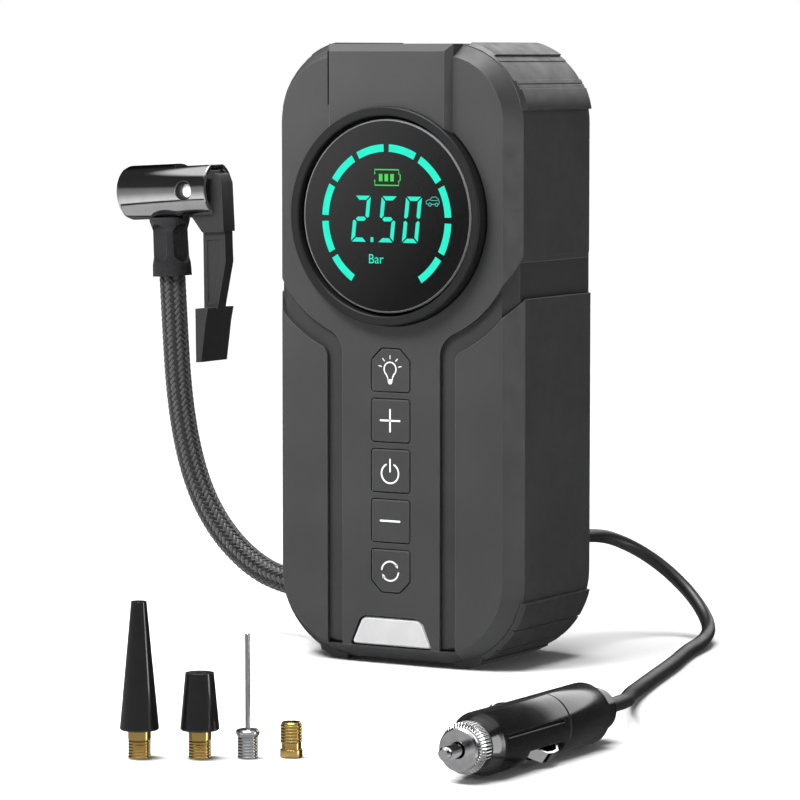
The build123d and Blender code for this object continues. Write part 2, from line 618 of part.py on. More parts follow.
def make_lever_pin():
    return chuck(rod(2.5, (PIVOT_U, -6.8, 0), (PIVOT_U, 6.8, 0)))


def make_chuck_lever():
    """Cam head, web, tapered arm and thumb paddle; it hangs beside the hose at rest."""
    head = polygon([(8.8, -1.5), (10.6, -10.1), (14.7, -15.7), (24.2, -15.7), (24.2, 2.4), (23.0, 5.4), (21.6, 6.0),
                    (20.8, 6.0), (20.8, 4.1), (PIVOT_U, 4.1), (8.8, 1.5)])
    head = head + Pos(PIVOT_U, 0) * Circle(4.15) + Pos(PIVOT_U - 2.6, 0) * Circle(3.6)
    arm = polygon([(14.4, -15.0), (13.2, -44.5), (19.1, -44.5), (23.7, -26.8), (23.9, -15.0)])
    paddle = polygon([(13.3, -43.7), (18.9, -43.7), (17.6, -48.6), (14.8, -63.6), (12.5, -63.6)])
    lever = front_prism(head, LEVER_HALF, -LEVER_HALF) + front_prism(arm, 2.65, -2.65)
    lever = lever + front_prism(paddle, 8.8, -8.8)
    panel = polygon([(15.9, -18.5), (15.0, -42.0), (17.4, -42.0), (21.7, -26.0), (21.9, -18.5)])
    lever = lever - front_prism(panel, -2.2, -6) - front_prism(panel, 6, 2.2)
    return chuck(lever - rod(2.5 + RUNNING, (PIVOT_U, -20, 0), (PIVOT_U, 20, 0)))


def make_cord_relief():
    """Tapered, ribbed strain relief in the rear cover, in line with the cord's first stretch."""
    wall = REAR_Y - CORD_ROUTE[0][1]
    points = [(0, wall - 5.4), (6.0, wall - 5.4), (6.0, wall - 3.2), (4.0, wall - 3.2), (4.0, wall + 0.9),
              (5.6, wall + 0.9), (5.6, wall + 2.6)]
    ribs = 6
    first = wall + 2.6
    pitch = (-1.0 - first) / ribs
    for rib in range(ribs):
        base = first + pitch * rib
        radius = 5.2 - 1.7 * rib / (ribs - 1)
        points += [(radius, base), (radius, base + pitch * 0.6), (radius - 0.7, base + pitch * 0.6),
                   (radius - 0.7, base + pitch)]
    points += [(3.4, -1), (3.2, 0), (0, 0)]
    start = Vector(*CORD_ROUTE[0])
    frame = Plane(origin=start, z_dir=Vector(*CORD_ROUTE[1]) - start)
    return frame.location * turn(points)


def plug(shape):
    """Places a part drawn about Z, tip at zero, onto the plug's axis along +Y."""
    return Pos(PLUG_X, PLUG_Y, PLUG_Z) * Rot(-90, 0, 0) * shape


def contact_frame(side):
    """Rotation that brings local +X of a contact to its side of the plug."""
    return Rot(0, 0, -CONTACT_ANGLE + (0 if side > 0 else 180))


def make_plug_body():
    body = turn([(5.6, 16.0), (8.0, 16.0), (9.0, 18.5), (PLUG_R, 21.5), (PLUG_R, 61.6), (9.65, 61.8),
                 (9.65, 62.2), (PLUG_R, 62.4), (PLUG_R, 88.0), (9.3, 89.6), (6.9, 90.4),
                 (6.9, 98.2), (6.0, 99.6), (4.6, PLUG_LENGTH), (0, PLUG_LENGTH), (0, 62.0), (6.6, 62.0),
                 (6.6, 20.0), (5.6, 20.0)])
    for side in (-1, 1):
        window = contact_frame(side) * block(4, 14, -2.3, 2.3, 37, 61)
        body = body - window
        for tilt in (-38, 38):
            rib = Rot(0, 0, -CONTACT_ANGLE + 90 * side + tilt) * block(PLUG_R - 0.7, PLUG_R + 1, -0.6, 0.6, 23, 58)
            body = body - rib
    return plug(body)


def make_plug_nose_ring():
    return plug(turn([(2.6, 8.6), (6.2, 8.6), (6.7, 9.2), (6.7, 11.4), (7.3, 11.8), (7.9, 12.4), (7.9, 15.9),
                      (5.5, 15.9), (5.5, 19.9), (4.8, 19.9), (4.8, 10.4), (2.6, 10.4)]))


def make_plug_tip():
    return plug(turn([(0, 0), (1.5, 0), (2.1, 0.6), (2.1, 12.2), (4.2, 12.2), (4.2, 14.0), (0, 14.0)]))


def make_plug_contact(side):
    """Bowed leaf that stands out of the plug's side."""
    points = [(6.9, 38), (6.9, 40.5), (11.3, 45.5), (11.6, 48.5), (11.3, 51.5), (6.9, 56.5), (6.9, 60), (7.6, 60),
              (7.6, 57.0), (12.1, 51.9), (12.5, 48.5), (12.1, 45.1), (7.6, 40.0), (7.6, 38)]
    leaf = front_prism(polygon(points), 1.9, -1.9)
    return plug(contact_frame(side) * leaf)


def threaded(radius, low, high, pitch=0.9, depth=0.28, inner=0.0):
    """Points of a grooved cylinder that stands for a screw thread, from low to high."""
    points = [(inner, low), (radius - depth, low)]
    turns = int((high - low) / pitch)
    for k in range(turns):
        base = low + (high - low) * k / turns
        points += [(radius, base + pitch * 0.35), (radius, base + pitch * 0.55), (radius - depth, base + pitch * 0.95)]
    return points + [(radius - depth, high)]


def make_nozzle_stem(place):
    points = threaded(3.55, 0.0, 5.6, inner=1.2) + [(3.55, 5.8), (3.55, 8.4), (3.3, 8.4), (3.3, 9.2), (1.2, 9.2)]
    return Pos(*place, 0) * turn(points)


def make_nozzle(place, length, tip_r):
    body = turn([(1.2, 9.2), (3.3, 9.2), (3.3, 8.7), (5.7, 8.7), (6.1, 9.1), (tip_r, 8.7 + length),
                 (1.2, 8.7 + length)])
    return Pos(*place, 0) * body


def make_ball_needle():
    points = threaded(3.25, 0.0, 6.6) + [(3.25, 6.7), (3.7, 7.6), (3.7, 8.4), (3.2, 8.9), (0.78, 8.9), (0.78, 38.6),
                                         (0.4, 39.0), (0, 39.0)]
    needle = Pos(*NEEDLE, 0) * turn(points)
    x, y = NEEDLE
    return needle - rod(0.4, (x - 3, y, 30.6), (x + 3, y, 30.6))


def make_presta_adapter():
    points = [(2.2, 0), (3.35, 0), (3.5, 0.3), (3.5, 2.4), (3.1, 2.6), (3.1, 4.3)] + threaded(3.4, 4.6, 10.4)[1:]
    points += [(3.1, 10.7), (2.8, 11.0), (2.2, 11.0)]
    return Pos(*ADAPTER, 0) * turn(points)


def make_cover_screws():
    group = []
    for x, z in BOSSES:
        head = rod(2.9, (x, REAR_Y - 2.3, z), (x, REAR_Y - 0.6, z)) - rod(1.1, (x, REAR_Y - 1.6, z), (x, REAR_Y, z))
        group.append(head + rod(1.25, (x, REAR_Y - 14, z), (x, REAR_Y - 2.2, z)))
    return Compound(group)


def make_parts():
    gland_hole = hose_opening(8.2)
    right_cheek = make_right_cheek()
    top_bumper = make_top_bumper()
    bottom_bumper = make_bottom_bumper()
    parts = {
        "front_cover": make_front_cover(),
        "rear_cover": make_rear_cover(),
        "face_panel": make_face_panel(),
        "right_cheek_panel": right_cheek,
        "left_cheek_panel": mirror(right_cheek, about=Plane.YZ) - gland_hole,
        "bumper_top_right": top_bumper,
        "bumper_top_left": mirror(top_bumper, about=Plane.YZ),
        "bumper_bottom_right": bottom_bumper,
        "bumper_bottom_left": mirror(bottom_bumper, about=Plane.YZ) - gland_hole,
        "display_bezel": make_display_bezel(),
        "display_glass": make_display_glass(),
        "display_module": make_display_module(),
        "control_board": make_control_board(),
        "tact_switches": make_tact_switches(),
        "lamp_lens": make_lamp_lens(),
        "lamp_board": make_lamp_board(),
        "battery_cells": make_battery_cells(),
        "battery_holder": make_battery_holder(),
        "pump_frame": make_pump_frame(),
        "motor_can": make_motor_can(),
        "motor_shaft": make_motor_shaft(),
        "drive_pinion": make_drive_pinion(),
        "crank_gear": make_crank_gear(),
        "crank_shaft": make_crank_shaft(),
        "crank_pin": make_crank_pin(),
        "connecting_rod": make_connecting_rod(),
        "piston": make_piston(),
        "piston_ring": make_piston_ring(),
        "cylinder": make_cylinder(),
        "cylinder_head": make_cylinder_head(),
        "air_tube": make_air_tube(),
        "pressure_sensor": make_pressure_sensor(),
        "hose_gland": make_hose_gland(),
        "air_hose": free_tube(HOSE_ROUTE, HOSE_R, "air_hose"),
        "hose_ferrule": make_hose_ferrule(),
        "chuck_barrel": make_chuck_barrel(),
        "chuck_seal": make_chuck_seal(),
        "clamp_sleeve": make_clamp_sleeve(),
        "chuck_cheeks": make_chuck_cheeks(),
        "chuck_lever": make_chuck_lever(),
        "lever_pin": make_lever_pin(),
        "cord_relief": make_cord_relief(),
        "power_cord": free_tube(CORD_ROUTE, CORD_R, "power_cord"),
        "plug_body": make_plug_body(),
        "plug_nose_ring": make_plug_nose_ring(),
        "plug_tip": make_plug_tip(),
        "plug_contact_right": make_plug_contact(1),
        "plug_contact_left": make_plug_contact(-1),
        "long_nozzle": make_nozzle(LONG_NOZZLE, 40.0, 2.4),
        "short_nozzle": make_nozzle(SHORT_NOZZLE, 17.9, 4.45),
        "long_nozzle_stem": make_nozzle_stem(LONG_NOZZLE),
        "short_nozzle_stem": make_nozzle_stem(SHORT_NOZZLE),
        "ball_needle": make_ball_needle(),
        "presta_adapter": make_presta_adapter(),
        "cover_screws": make_cover_screws(),
    }
    for index, name in enumerate(("mode_button", "minus_button", "power_button", "plus_button", "light_button")):
        parts[name] = make_button(index)
    return parts


if __name__ == "__main__":
    os.makedirs("parts", exist_ok=True)
    for node, shape in make_parts().items():
        export_step(shape, "parts/" + node + ".step")
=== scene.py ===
"""Looks for the portable tire inflator: camera, cords, materials, display, symbols, floor and light."""

import json
import math

import bmesh
import bpy
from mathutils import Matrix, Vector


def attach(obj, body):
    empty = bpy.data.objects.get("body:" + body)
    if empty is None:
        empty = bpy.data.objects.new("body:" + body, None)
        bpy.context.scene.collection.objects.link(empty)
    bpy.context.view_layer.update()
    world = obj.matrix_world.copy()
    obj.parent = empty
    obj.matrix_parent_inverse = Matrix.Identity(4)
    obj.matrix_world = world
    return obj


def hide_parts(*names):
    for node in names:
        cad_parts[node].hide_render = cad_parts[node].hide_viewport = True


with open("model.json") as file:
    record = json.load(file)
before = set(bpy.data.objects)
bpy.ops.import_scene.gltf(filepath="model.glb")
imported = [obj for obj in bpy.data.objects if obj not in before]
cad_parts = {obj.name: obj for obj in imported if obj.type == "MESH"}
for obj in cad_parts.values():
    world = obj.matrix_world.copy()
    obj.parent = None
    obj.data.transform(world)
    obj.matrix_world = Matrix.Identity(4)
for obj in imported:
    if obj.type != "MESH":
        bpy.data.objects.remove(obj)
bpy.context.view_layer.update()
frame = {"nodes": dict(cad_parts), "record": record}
nodes = frame["nodes"]

MM = 0.001

# the camera, in metres
CAMERA_PLACE = (0.74327, -1.29075, 0.21693)
CAMERA_AIM = (-0.014361, 0, 0.092007)
CAMERA_LENS = 186.5

# the object, in millimetres
PANEL_Y = -31.0            # front of the face panel
FACE_Y = -31.25            # front of the button caps
GLASS_Y = -34.2            # front of the display glass
DISPLAY_Z = 160.0
GLASS_HIGHLIGHT_RADIUS = 33.5           # radius from which a painted highlight rims the glass
SEAT_INNER, SEAT_OUTER = 38.62, 39.15      # joint round the bezel's foot, painted black as shade in the gap
STRIP_LEFT = -26.0         # left edge of a painted shadow line beside the raised strip
# width of the painted shadow line beside the raised strip
STRIP_SHADOW_WIDTH = 0.55
BUTTON_Z = {"mode": 33.8, "minus": 51.7, "power": 69.6, "plus": 87.5, "light": 105.4}
SYMBOL_X = -0.1
PLUG_X, PLUG_Z = 139.0, 10.05
KNURL_Y = -224.7           # from here towards the rear, the plug's ring is knurled
KNURL_RIBS = 46

# the display's figures, in millimetres
GAUGE_CENTRE = (0.1, 158.95)
GAUGE_INNER, GAUGE_OUTER = 23.75, 26.4
GAUGE_SPANS = ((0, 30), (30, 60), (60, 90), (90, 120), (120, 148))         # degrees from the top, to each side
GAUGE_GAP = 2.4            # degrees at each end of a span
GAUGE_LAST_GAP = 1.0
FIGURES_LOW = 150.8

HOSE_RADIUS = 4.7
HOSE_ROUTE = [(-52.5, 0, 21.3), (-65.9, 0, 23.2), (-78.9, 0, 28.9), (-91.2, 0, 39.4), (-100.6, 0, 53.3),
              (-106.7, 0, 71.0), (-110.1, 0, 90.5), (-111.75, 0, 112.5), (-112.9, 0, 134.44)]
CORD_RADIUS = 2.5
CORD_ROUTE = [(29, 55, 38.9), (29, 70.3, 38.9), (35.2, 83.9, 34.2), (46, 91.6, 25.8), (59.5, 91.2, 14.9),
              (72, 80.4, 5.7), (78.8, 60.8, 3.2), (83, 38.1, 2.6), (92, 10, 2.6), (100, -20, 2.6),
              (108, -48, 2.8), (118, -76, 4.4), (130, -99, 7.6), (139, -119, 10.05), (139, -136, 10.05)]


# ---------------------------------------------------------------- camera

def make_camera():
    data = bpy.data.cameras.new("camera")
    data.sensor_width = 36
    data.lens = CAMERA_LENS
    data.clip_start = 0.05
    data.clip_end = 50
    camera = bpy.data.objects.new("camera", data)
    bpy.context.scene.collection.objects.link(camera)
    camera.location = CAMERA_PLACE
    aim = Vector(CAMERA_AIM) - camera.location
    camera.rotation_mode = "QUATERNION"
    camera.rotation_quaternion = aim.to_track_quat("-Z", "Y")
    bpy.context.scene.camera = camera


# ---------------------------------------------------------------- cords

def nurbs_curve(name, route, radius):
    """A smooth round cord whose control points are the route, in millimetres."""
    data = bpy.data.curves.new(name, "CURVE")
    data.dimensions = "3D"
    spline = data.splines.new("NURBS")
    spline.points.add(len(route) - 1)
    for point, place in zip(spline.points, route):
        point.co = (place[0] * MM, place[1] * MM, place[2] * MM, 1)
    spline.order_u = 3
    spline.use_endpoint_u = True
    spline.resolution_u = 24
    data.bevel_depth = radius * MM
    data.bevel_resolution = 6
    data.use_fill_caps = True
    curve = bpy.data.objects.new(name, data)
    bpy.context.scene.collection.objects.link(curve)
    return curve


def centre_line(route):
    """Points along the route's own smooth curve, in metres."""
    curve = nurbs_curve("line_only", route, 0)
    bpy.context.view_layer.update()
    evaluated = curve.evaluated_get(bpy.context.evaluated_depsgraph_get())
    mesh = bpy.data.meshes.new_from_object(evaluated)
    points = [v.co.copy() for v in mesh.vertices]
    data = curve.data
    bpy.data.objects.remove(curve)
    bpy.data.curves.remove(data)
    bpy.data.meshes.remove(mesh)
    return points


class Rail:
    """A line that can be read at any distance along it, with a frame that doesn't twist."""

    def __init__(self, points):
        self.points = points
        self.reach = [0.0]
        for a, b in zip(points, points[1:]):
            self.reach.append(self.reach[-1] + (b - a).length)
        self.length = self.reach[-1]
        along = [(b - a).normalized() for a, b in zip(points, points[1:])]
        along.append(along[-1])
        self.along = along
        side = along[0].orthogonal().normalized()
        self.sides = []
        for direction in along:
            side = (side - direction * side.dot(direction)).normalized()
            self.sides.append(side.copy())
        self.index = 0

    def at(self, distance):
        if distance < self.reach[self.index]:
            self.index = 0
        while self.index < len(self.points) - 2 and self.reach[self.index + 1] < distance:
            self.index += 1
        i = self.index
        share = (distance - self.reach[i]) / max(self.reach[i + 1] - self.reach[i], 1e-9)
        place = self.points[i].lerp(self.points[i + 1], share)
        along = self.along[i].lerp(self.along[i + 1], share).normalized()
        side = self.sides[i].lerp(self.sides[i + 1], share)
        side = (side - along * side.dot(along)).normalized()
        return place, along, side, along.cross(side)


def mesh_object(name, verts, faces, smooth=True):
    mesh = bpy.data.meshes.new(name)
    mesh.from_pydata(verts, [], faces)
    mesh.validate()
    if smooth:
        mesh.polygons.foreach_set("use_smooth", [True] * len(mesh.polygons))
    piece = bpy.data.objects.new(name, mesh)
    bpy.context.scene.collection.objects.link(piece)
    return piece


STRANDS = 16               # in each direction, a multiple of four for the two-over-two-under weave
LEAD = 0.0344              # length in which a strand goes once round
STRAND_WIDTH = 0.00066
STRAND_THICK = 0.00026
WEAVE_RADIUS = 0.00445
WEAVE_LIFT = 0.00020
STRAND_SIDES = 6


def braid_strands(name, rail, direction):
    """All strands that wind one way round the hose, woven over and under those that wind the other way."""
    step = LEAD / (2 * STRANDS) / 4
    rings = int(rail.length / step)
    verts, faces = [], []
    for strand in range(STRANDS):
        base = len(verts)
        start = 2 * math.pi * strand / STRANDS
        for ring in range(rings + 1):
            distance = min(rail.length * ring / rings, rail.length)
            crossing = 2 * STRANDS * distance / LEAD
            weave = math.pi / 2 * (2 * strand + direction * crossing) - math.pi / 4
            lift = direction * max(-1, min(1, 1.3 * math.cos(weave)))
            place, along, side, up = rail.at(distance)
            angle = start + direction * 2 * math.pi * distance / LEAD
            out = side * math.cos(angle) + up * math.sin(angle)
            around = up * math.cos(angle) - side * math.sin(angle)
            centre = place + out * (WEAVE_RADIUS + WEAVE_LIFT * lift)
            travel = (along + around * direction * 2 * math.pi * WEAVE_RADIUS / LEAD).normalized()
            across = travel.cross(out)
            for k in range(STRAND_SIDES):
                turn = 2 * math.pi * k / STRAND_SIDES
                verts.append(centre + across * STRAND_WIDTH * math.cos(turn)
                             + out * STRAND_THICK * math.sin(turn))
        for ring in range(rings):
            for k in range(STRAND_SIDES):
                a = base + ring * STRAND_SIDES + k
                b = base + ring * STRAND_SIDES + (k + 1) % STRAND_SIDES
                faces.append((a, b, b + STRAND_SIDES, a + STRAND_SIDES))
        faces.append(tuple(base + k for k in reversed(range(STRAND_SIDES))))
        last = base + rings * STRAND_SIDES
        faces.append(tuple(last + k for k in range(STRAND_SIDES)))
    return mesh_object(name, verts, faces)


# ---------------------------------------------------------------- materials

class Graph:
    """Short names for building a material's node tree."""

    def __init__(self, name):
        self.material = bpy.data.materials.new(name)
        self.material.use_nodes = True
        self.tree = self.material.node_tree
        self.shader = self.tree.nodes["Principled BSDF"]
        self.coordinates = self.tree.nodes.new("ShaderNodeTexCoord")

    def add(self, kind, **settings):
        node = self.tree.nodes.new(kind)
        for key, value in settings.items():
            setattr(node, key, value)
        return node

    def link(self, source, target):
        self.tree.links.new(source, target)

    def noise(self, scale, detail=3.0, stretch=(1, 1, 1)):
        mapping = self.add("ShaderNodeMapping")
        mapping.inputs["Scale"].default_value = stretch
        self.link(self.coordinates.outputs["Object"], mapping.inputs["Vector"])
        node = self.add("ShaderNodeTexNoise")
        node.inputs["Scale"].default_value = scale
        node.inputs["Detail"].default_value = detail
        self.link(mapping.outputs["Vector"], node.inputs["Vector"])
        return node.outputs["Fac"]

    def spread(self, source, low, high, from_low=0.3, from_high=0.7):
        node = self.add("ShaderNodeMapRange")
        node.inputs["From Min"].default_value = from_low
        node.inputs["From Max"].default_value = from_high
        node.inputs["To Min"].default_value = low
        node.inputs["To Max"].default_value = high
        self.link(source, node.inputs["Value"])
        return node.outputs["Result"]

    def blend(self, share, first, second):
        """Colour between two colours, or between a socket and a colour."""
        node = self.add("ShaderNodeMix", data_type="RGBA")
        self.link(share, node.inputs[0])
        for value, socket in ((first, node.inputs[6]), (second, node.inputs[7])):
            if isinstance(value, tuple):
                socket.default_value = (*value, 1)
            else:
                self.link(value, socket)
        return node.outputs[2]

    def calc(self, operation, first, second):
        node = self.add("ShaderNodeMath", operation=operation)
        for value, socket in ((first, node.inputs[0]), (second, node.inputs[1])):
            if isinstance(value, (int, float)):
                socket.default_value = value
            else:
                self.link(value, socket)
        return node.outputs[0]

    def rounded(self, radius):
        """Normal of softly rounded edges, and a mask that is one on those edges."""
        bevel = self.add("ShaderNodeBevel", samples=6)
        bevel.inputs["Radius"].default_value = radius
        geometry = self.add("ShaderNodeNewGeometry")
        dot = self.add("ShaderNodeVectorMath", operation="DOT_PRODUCT")
        self.link(bevel.outputs["Normal"], dot.inputs[0])
        self.link(geometry.outputs["Normal"], dot.inputs[1])
        return bevel.outputs["Normal"], self.spread(dot.outputs["Value"], 1, 0, 0.86, 0.995)


def shade(value, factor):
    return tuple(min(1.0, c * factor) for c in value)


def moulded(name, colour, rough=0.5, specular=0.5, grain=2600, depth=0.00003, mottle=0.12, edge=0.00035,
            painted_edge_factor=1.8, metallic=0.0, coat=0.0, coat_rough=0.1, stretch=(1, 1, 1), rough_range=0.06):
    """Moulded or machined surface: fine grain, slow colour drift, softly rounded edges that are lightened as a
    painted highlight, or darkened as painted shade where the edge factor is below one.
    """
    g = Graph(name)
    fine = g.noise(grain, 4.0, stretch)
    slow = g.noise(32, 3.0)
    body = g.blend(g.spread(slow, 0, 1), shade(colour, 1 - mottle), shade(colour, 1 + mottle))
    body = g.blend(g.spread(fine, 0, 0.5), body, shade(colour, 0.8))
    normal, mask = g.rounded(edge)
    # painted highlight on the rounded edges; an edge factor below one darkens them as painted shade instead
    body = g.blend(g.calc("MULTIPLY", mask, 0.75), body, shade(colour, painted_edge_factor))
    g.link(body, g.shader.inputs["Base Color"])
    g.link(g.spread(g.noise(180, 4.0), rough - rough_range, rough + rough_range), g.shader.inputs["Roughness"])
    bump = g.add("ShaderNodeBump")
    bump.inputs["Strength"].default_value = 0.55
    bump.inputs["Distance"].default_value = depth
    g.link(fine, bump.inputs["Height"])
    g.link(normal, bump.inputs["Normal"])
    g.link(bump.outputs["Normal"], g.shader.inputs["Normal"])
    g.shader.inputs["Metallic"].default_value = metallic
    g.shader.inputs["Specular IOR Level"].default_value = specular
    g.shader.inputs["Coat Weight"].default_value = coat
    g.shader.inputs["Coat Roughness"].default_value = coat_rough
    return g.material


def display_glass_material():
    """Smoked glass with a painted reflection that lightens it towards its upper left, and a painted highlight
    as a fine bright rim.
    """
    g = Graph("display_glass")
    split = g.add("ShaderNodeSeparateXYZ")
    g.link(g.coordinates.outputs["Object"], split.inputs[0])
    # painted reflection: the glass is lightened towards its upper left
    across = g.calc("SUBTRACT", g.calc("MULTIPLY", split.outputs["Z"], 0.8), split.outputs["X"])
    share = g.spread(across, 0, 1, 0.098, 0.176)
    body = g.blend(share, (0.002, 0.002, 0.0021), (0.019, 0.019, 0.0195))
    speckle = g.noise(900, 2.0)
    body = g.blend(g.spread(speckle, 0, 0.1), body, (0.02, 0.021, 0.022))
    flat = g.add("ShaderNodeVectorMath", operation="MULTIPLY")
    flat.inputs[1].default_value = (1, 0, 1)
    g.link(g.coordinates.outputs["Object"], flat.inputs[0])
    reach = g.add("ShaderNodeVectorMath", operation="DISTANCE")
    reach.inputs[1].default_value = (0, 0, DISPLAY_Z * MM)
    g.link(flat.outputs["Vector"], reach.inputs[0])
    # painted highlight: a bright ring at the glass's edge
    rim = g.spread(reach.outputs["Value"], 0, 1, GLASS_HIGHLIGHT_RADIUS * MM, (GLASS_HIGHLIGHT_RADIUS + 0.2) * MM)
    body = g.blend(rim, body, (0.16, 0.16, 0.165))
    g.link(body, g.shader.inputs["Base Color"])
    g.link(g.spread(g.noise(60), 0.12, 0.2), g.shader.inputs["Roughness"])
    g.shader.inputs["Specular IOR Level"].default_value = 0.3
    return g.material


def lit_material(name, colour, strength):
    """A lit display segment, a little uneven as behind a diffuser."""
    g = Graph(name)
    body = g.blend(g.spread(g.noise(420, 2.0), 0, 1), shade(colour, 0.9), colour)
    g.link(body, g.shader.inputs["Emission Color"])
    g.shader.inputs["Base Color"].default_value = (0.003, 0.01, 0.008, 1)
    g.shader.inputs["Emission Strength"].default_value = strength
    g.shader.inputs["Roughness"].default_value = 0.4
    return g.material


def lens_material():
    """Frosted lamp lens with fine upright ribs and a painted highlight as a bright rim."""
    g = Graph("lamp_lens")
    wave = g.add("ShaderNodeTexWave", wave_type="BANDS", bands_direction="X")
    wave.inputs["Scale"].default_value = 260
    g.link(g.coordinates.outputs["Object"], wave.inputs["Vector"])
    body = g.blend(g.spread(g.noise(70), 0, 1), (0.42, 0.42, 0.425), (0.50, 0.50, 0.505))
    normal, mask = g.rounded(0.0007)
    # painted highlight: a bright rim on the rounded edges
    body = g.blend(mask, body, (0.95, 0.95, 0.95))
    g.link(body, g.shader.inputs["Base Color"])
    bump = g.add("ShaderNodeBump")
    bump.inputs["Strength"].default_value = 0.2
    bump.inputs["Distance"].default_value = 0.00003
    g.link(wave.outputs["Fac"], bump.inputs["Height"])
    g.link(normal, bump.inputs["Normal"])
    g.link(bump.outputs["Normal"], g.shader.inputs["Normal"])
    g.link(g.spread(g.noise(200), 0.3, 0.42), g.shader.inputs["Roughness"])
    g.shader.inputs["Subsurface Weight"].default_value = 0.15
    g.shader.inputs["Subsurface Radius"].default_value = (0.001, 0.001, 0.001)
    return g.material


def yarn_material(name, colour, sheen_tint):
    """Twisted textile yarn: fibres across the strand, uneven tone, soft sheen."""
    g = Graph(name)
    fibre = g.noise(5200, 3.0, (1, 1, 0.35))
    body = g.blend(g.spread(fibre, 0, 1), shade(colour, 0.55), shade(colour, 1.3))
    g.link(body, g.shader.inputs["Base Color"])
    bump = g.add("ShaderNodeBump")
    bump.inputs["Strength"].default_value = 0.7
    bump.inputs["Distance"].default_value = 0.00004
    g.link(fibre, bump.inputs["Height"])
    g.link(bump.outputs["Normal"], g.shader.inputs["Normal"])
    g.link(g.spread(g.noise(800), 0.34, 0.5), g.shader.inputs["Roughness"])
    g.shader.inputs["Specular IOR Level"].default_value = 0.7
    g.shader.inputs["Sheen Weight"].default_value = 0.25
    g.shader.inputs["Sheen Tint"].default_value = (*sheen_tint, 1)
    return g.material


def knurled_chrome():
    """Chrome ring with fine ribs along the plug's axis, on its rear part."""
    g = Graph("knurled_chrome")
    split = g.add("ShaderNodeSeparateXYZ")
    g.link(g.coordinates.outputs["Object"], split.inputs[0])
    angle = g.calc("ARCTAN2", g.calc("SUBTRACT", split.outputs["Z"], PLUG_Z * MM),
                   g.calc("SUBTRACT", split.outputs["X"], PLUG_X * MM))
    ribs = g.calc("SINE", g.calc("MULTIPLY", angle, KNURL_RIBS), 0)
    rear = g.spread(split.outputs["Y"], 0, 1, KNURL_Y * MM, (KNURL_Y + 0.4) * MM)
    height = g.calc("MULTIPLY", ribs, rear)
    bump = g.add("ShaderNodeBump")
    bump.inputs["Strength"].default_value = 0.9
    bump.inputs["Distance"].default_value = 0.0002
    g.link(height, bump.inputs["Height"])
    normal, _ = g.rounded(0.0002)
    g.link(normal, bump.inputs["Normal"])
    g.link(bump.outputs["Normal"], g.shader.inputs["Normal"])
    body = g.blend(g.spread(g.noise(300), 0, 1), (0.62, 0.62, 0.63), (0.78, 0.78, 0.79))
    g.link(body, g.shader.inputs["Base Color"])
    g.link(g.spread(g.noise(900), 0.12, 0.24), g.shader.inputs["Roughness"])
    g.shader.inputs["Metallic"].default_value = 1.0
    return g.material


def polished(name, colour, rough=0.08, brushed=None, scratch=0.00001):
    """Metal with faint turning marks, a slightly uneven polish, and edges lightened as a painted highlight."""
    g = Graph(name)
    body = g.blend(g.spread(g.noise(240), 0, 1), shade(colour, 0.92), colour)
    normal, mask = g.rounded(0.00018)
    # painted highlight: the rounded edges are lightened
    body = g.blend(g.calc("MULTIPLY", mask, 0.4), body, shade(colour, 1.15))
    g.link(body, g.shader.inputs["Base Color"])
    marks = g.noise(1500, 4.0, brushed or (1, 1, 1))
    bump = g.add("ShaderNodeBump")
    bump.inputs["Strength"].default_value = 0.35
    bump.inputs["Distance"].default_value = scratch
    g.link(marks, bump.inputs["Height"])
    g.link(normal, bump.inputs["Normal"])
    g.link(bump.outputs["Normal"], g.shader.inputs["Normal"])
    g.link(g.spread(g.noise(500), rough * 0.7, rough * 1.4), g.shader.inputs["Roughness"])
    g.shader.inputs["Metallic"].default_value = 1.0
    return g.material


def board_material():
    """Green solder mask with copper tracks showing through."""
    g = Graph("circuit_board")
    cells = g.add("ShaderNodeTexBrick")
    cells.inputs["Scale"].default_value = 130
    cells.inputs["Mortar Size"].default_value = 0.03
    cells.inputs["Color1"].default_value = (0.01, 0.09, 0.035, 1)
    cells.inputs["Color2"].default_value = (0.012, 0.11, 0.04, 1)
    cells.inputs["Mortar"].default_value = (0.05, 0.2, 0.07, 1)
    turned = g.add("ShaderNodeMapping")
    turned.inputs["Rotation"].default_value = (math.radians(90), 0, 0)
    g.link(g.coordinates.outputs["Object"], turned.inputs["Vector"])
    g.link(turned.outputs["Vector"], cells.inputs["Vector"])
    g.link(cells.outputs["Color"], g.shader.inputs["Base Color"])
    g.link(g.spread(g.noise(300), 0.25, 0.4), g.shader.inputs["Roughness"])
    return g.material


